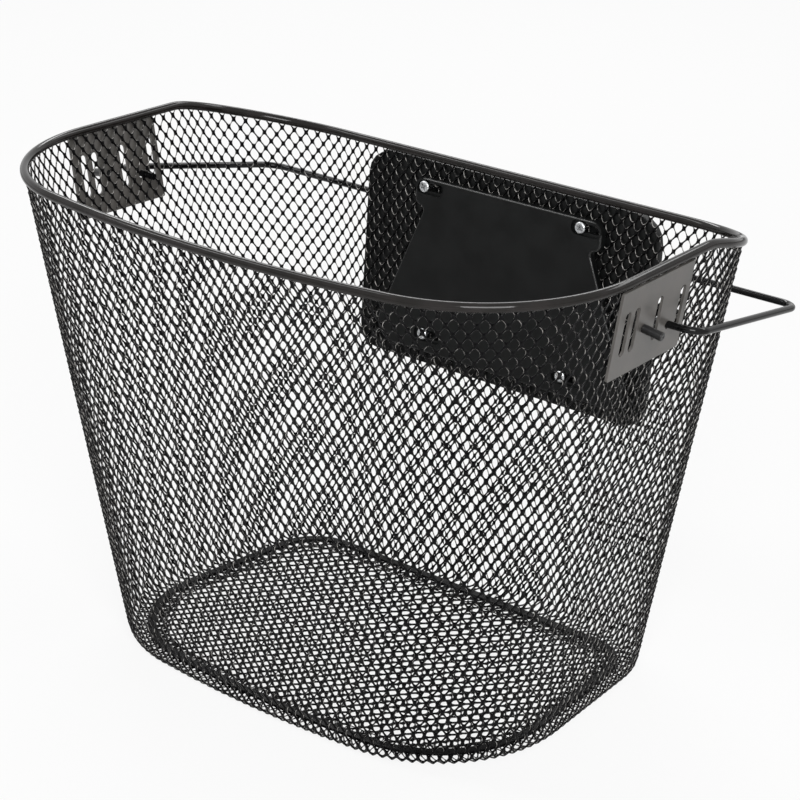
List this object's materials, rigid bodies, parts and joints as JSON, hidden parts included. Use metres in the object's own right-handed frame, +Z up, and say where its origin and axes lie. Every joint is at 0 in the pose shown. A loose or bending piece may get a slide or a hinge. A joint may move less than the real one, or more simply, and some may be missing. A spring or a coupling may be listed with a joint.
{
  "type": "bicycle basket",
  "caption": "Tapering bicycle basket of expanded metal on a round-wire rim, with a folding wire handle and a carrier plate that hangs it on a bracket.",
  "frame": {"origin": "under the middle of the whole basket, on the level surface that it stands on", "axes": "+X across the basket to the rider's left, +Y from the basket's front to the bicycle, +Z up"},
  "size_m": [0.409, 0.2679, 0.2737],
  "materials": {
    "black_paint": "gloss black paint over steel wire, sheet and expanded metal",
    "black_plastic": "moulded black plastic with a satin face",
    "zinc": "bright zinc plating on steel"
  },
  "bodies": {
    "basket": {"wall_mesh": "black_paint", "floor_mesh": "black_paint", "rim_wire": "black_paint", "side_plate_left": "black_paint", "side_plate_right": "black_paint", "side_peg_left": "black_paint", "side_peg_right": "black_paint", "clamp_plate": "black_plastic", "carrier_plate": "black_plastic", "clamp_screw_upper_left": "zinc", "clamp_screw_upper_right": "zinc", "clamp_screw_lower_left": "zinc", "clamp_screw_lower_right": "zinc", "clamp_nut_upper_left": "zinc", "clamp_nut_upper_right": "zinc", "clamp_nut_lower_left": "zinc", "clamp_nut_lower_right": "zinc"},
    "handle": {"handle": "black_paint"}
  },
  "joints": [
    {"name": "handle_hinge", "type": "hinge", "parent": "basket", "child": "handle", "pos_m": [0, 0.00648, 0.2383], "axis": [1, 0, 0], "range_deg": [0, 171.5]}
  ]
}
